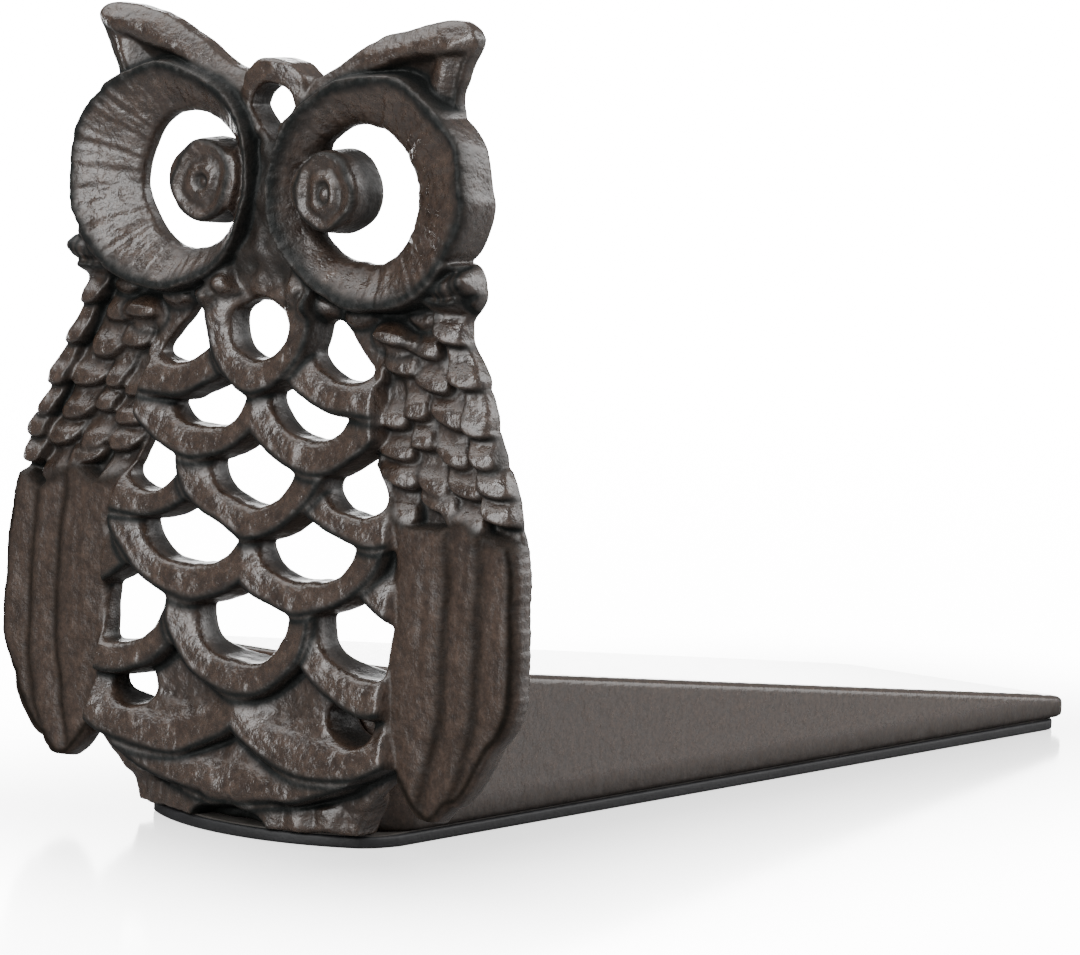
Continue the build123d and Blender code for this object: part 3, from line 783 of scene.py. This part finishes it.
def assemble():
    figure_iron = iron_material("brown_cast_iron_figure", True)
    ramp_iron = iron_material("brown_cast_iron_ramp", False)
    steel, rubber, glue = steel_material(), rubber_material(), glue_material()
    for maker, node, material, name in ((build_figure, "owl_figure", figure_iron, "figure_casting"),
                                        (build_wedge, "wedge_ramp", ramp_iron, "ramp_casting"),
                                        (build_sole, "sole_pad", rubber, "sole")):
        piece = maker()
        paint(piece, material)
        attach(piece, "root")
        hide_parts(node)
    for node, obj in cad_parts.items():
        if node.startswith(("figure_screw", "lock_washer")):
            paint(obj, steel)
        elif node == "sole_adhesive":
            paint(obj, glue)


# ---- studio: metres, in the frame ---------------------------------------------------------------
# Light patches of the world: direction, cosine where each begins and is full, strength at each
PATCHES = [((0.75, 0.55, 0.30), 0.1, 1.0, 0.20, 0.50), ((-0.61, 0.78, 0.05), 0.955, 0.985, 0.0, 12.0),
           ((0.45, -0.85, 0.28), 0.90, 0.96, 0.0, 1.0), ((-0.50, -0.05, 0.86), 0.80, 0.95, 0.0, 2.4),
           ((0.58, 0.76, 0.34), 0.94, 0.98, 0.0, 2.9)]
BACKDROP = 14.0            # strength of the world where the camera sees it directly
# Softboxes: name, place, what it points at, width, height, power
SOFTBOXES = [("front", (-0.08, -1.32, 0.38), (0, -0.08, 0.06), 0.74, 0.70, 8.0),
             ("upper", (0.24, -0.90, 0.86), (0, -0.08, 0.06), 0.50, 0.36, 5),
             ("key", (0.70, 0.35, 0.75), (0, -0.05, 0.05), 0.6, 0.6, 4)]
FLOOR_SIZE = 12.0
FLOOR_GLOW, FLOOR_NEAR, FLOOR_REACH = 9.0, 1.6, 0.09    # glow far off, at the sole, and between
CAMERA_AT = (510.561, -584.098 - Y_MID, 140.677)        # millimetres
CAMERA_ANGLES = (37.995, 6.245, 2.448)                  # azimuth, pitch and roll in degrees
SENSOR, LENS = 36.0, 172.6937


def world_light():
    world = bpy.data.worlds.new("studio")
    bpy.context.scene.world = world
    world.use_nodes = True
    g = Net(world.node_tree)
    back = world.node_tree.nodes["Background"]
    way = g.node("ShaderNodeTexCoord").outputs["Generated"]
    glow = None
    for direction, *reach in PATCHES:
        toward = g.node("ShaderNodeVectorMath", ((0, way), (1, Vector(direction).normalized())),
                        operation="DOT_PRODUCT").outputs["Value"]
        patch = g.fade(toward, *reach)
        glow = patch if glow is None else g.math("ADD", glow, patch)
    strength = g.node("ShaderNodeMix", data_type="FLOAT")
    for i, value in ((0, g.node("ShaderNodeLightPath").outputs["Is Camera Ray"]), (2, glow)):
        world.node_tree.links.new(value, strength.inputs[i])
    strength.inputs[3].default_value = BACKDROP
    world.node_tree.links.new(strength.outputs[0], back.inputs[1])
    back.inputs[0].default_value = (1, 1, 1, 1)


def pale_floor():
    s = FLOOR_SIZE
    mesh = bpy.data.meshes.new("floor")
    mesh.from_pydata([(-s, -s, 0), (s, -s, 0), (s, s, 0), (-s, s, 0)], [], [(0, 1, 2, 3)])
    floor = bpy.data.objects.new("floor", mesh)
    bpy.context.scene.collection.objects.link(floor)
    m, tree, bsdf = nodes_of("pale_floor")
    g = Net(tree)
    bsdf.inputs["Roughness"].default_value = 0.12
    bsdf.inputs["IOR"].default_value = 1.5
    bsdf.inputs["Emission Color"].default_value = (1, 1, 1, 1)
    co = g.node("ShaderNodeNewGeometry").outputs["Position"]
    x, y = g.part(co, 0), g.part(co, 1)
    # bright where seen directly, but for a dimmer zone round the sole, where the reflection shows: painted
    # shade round the sole
    middle, half_length = 0.001 * (Y_PAD_END / 2 - Y_MID), 0.0005 * Y_PAD_END
    off_x = g.math("MAXIMUM", g.math("SUBTRACT", g.math("ABSOLUTE", x), 0.001 * HALF_W), 0.0)
    off_y = g.math("ABSOLUTE", g.math("SUBTRACT", y, middle))
    off_y = g.math("MAXIMUM", g.math("SUBTRACT", off_y, half_length), 0.0)
    away = g.math("ADD", g.math("MULTIPLY", off_x, off_x), g.math("MULTIPLY", off_y, off_y))
    away = g.math("SQRT", away)
    # a white strip behind, for the surfaces that mirror it at a grazing angle
    strip = g.math("MULTIPLY", g.fade(x, -0.25, -0.05, 14.0, 0.0), g.fade(y, 0.15, 0.30, 0.0, 1.0))
    strip = g.math("MULTIPLY", strip, g.fade(y, 0.45, 0.65, 1.0, 0.0))
    seen = g.node("ShaderNodeLightPath").outputs["Is Camera Ray"]
    glow = g.math("ADD", g.math("MULTIPLY", seen, g.fade(away, 0.0, FLOOR_REACH, FLOOR_NEAR, FLOOR_GLOW)),
                  g.math("MULTIPLY", g.math("SUBTRACT", 1.0, seen), strip))
    tree.links.new(glow, bsdf.inputs["Emission Strength"])
    tree.links.new(g.mix(seen, (0.25, 0.25, 0.25), (0.9, 0.9, 0.9)), bsdf.inputs["Base Color"])
    paint(floor, m)


def softbox(name, at, aim, w, h, power):
    light = bpy.data.lights.new(name, "AREA")
    light.shape, light.size, light.size_y, light.energy = "RECTANGLE", w, h, power
    o = bpy.data.objects.new(name, light)
    o.location = at
    o.rotation_euler = (Vector(aim) - Vector(at)).to_track_quat("-Z", "Y").to_euler()
    bpy.context.scene.collection.objects.link(o)


def camera():
    data = bpy.data.cameras.new("camera")
    cam = bpy.data.objects.new("camera", data)
    bpy.context.scene.collection.objects.link(cam)
    azimuth, pitch, roll = (math.radians(a) for a in CAMERA_ANGLES)
    level = math.cos(pitch)
    look = Vector((-math.sin(azimuth) * level, math.cos(azimuth) * level, -math.sin(pitch)))
    right = Vector((math.cos(azimuth), math.sin(azimuth), 0))
    up = right.cross(look)
    c, s = math.cos(roll), math.sin(roll)
    right, up = c * right + s * up, c * up - s * right
    turn = Matrix((right, up, -look)).transposed().to_4x4()
    cam.matrix_world = Matrix.Translation(Vector(CAMERA_AT) * 0.001) @ turn
    data.sensor_width, data.lens = SENSOR, LENS
    data.clip_start, data.clip_end = 0.05, 50
    bpy.context.scene.camera = cam


assemble()
world_light()
pale_floor()
for box in SOFTBOXES:
    softbox(*box)
camera()
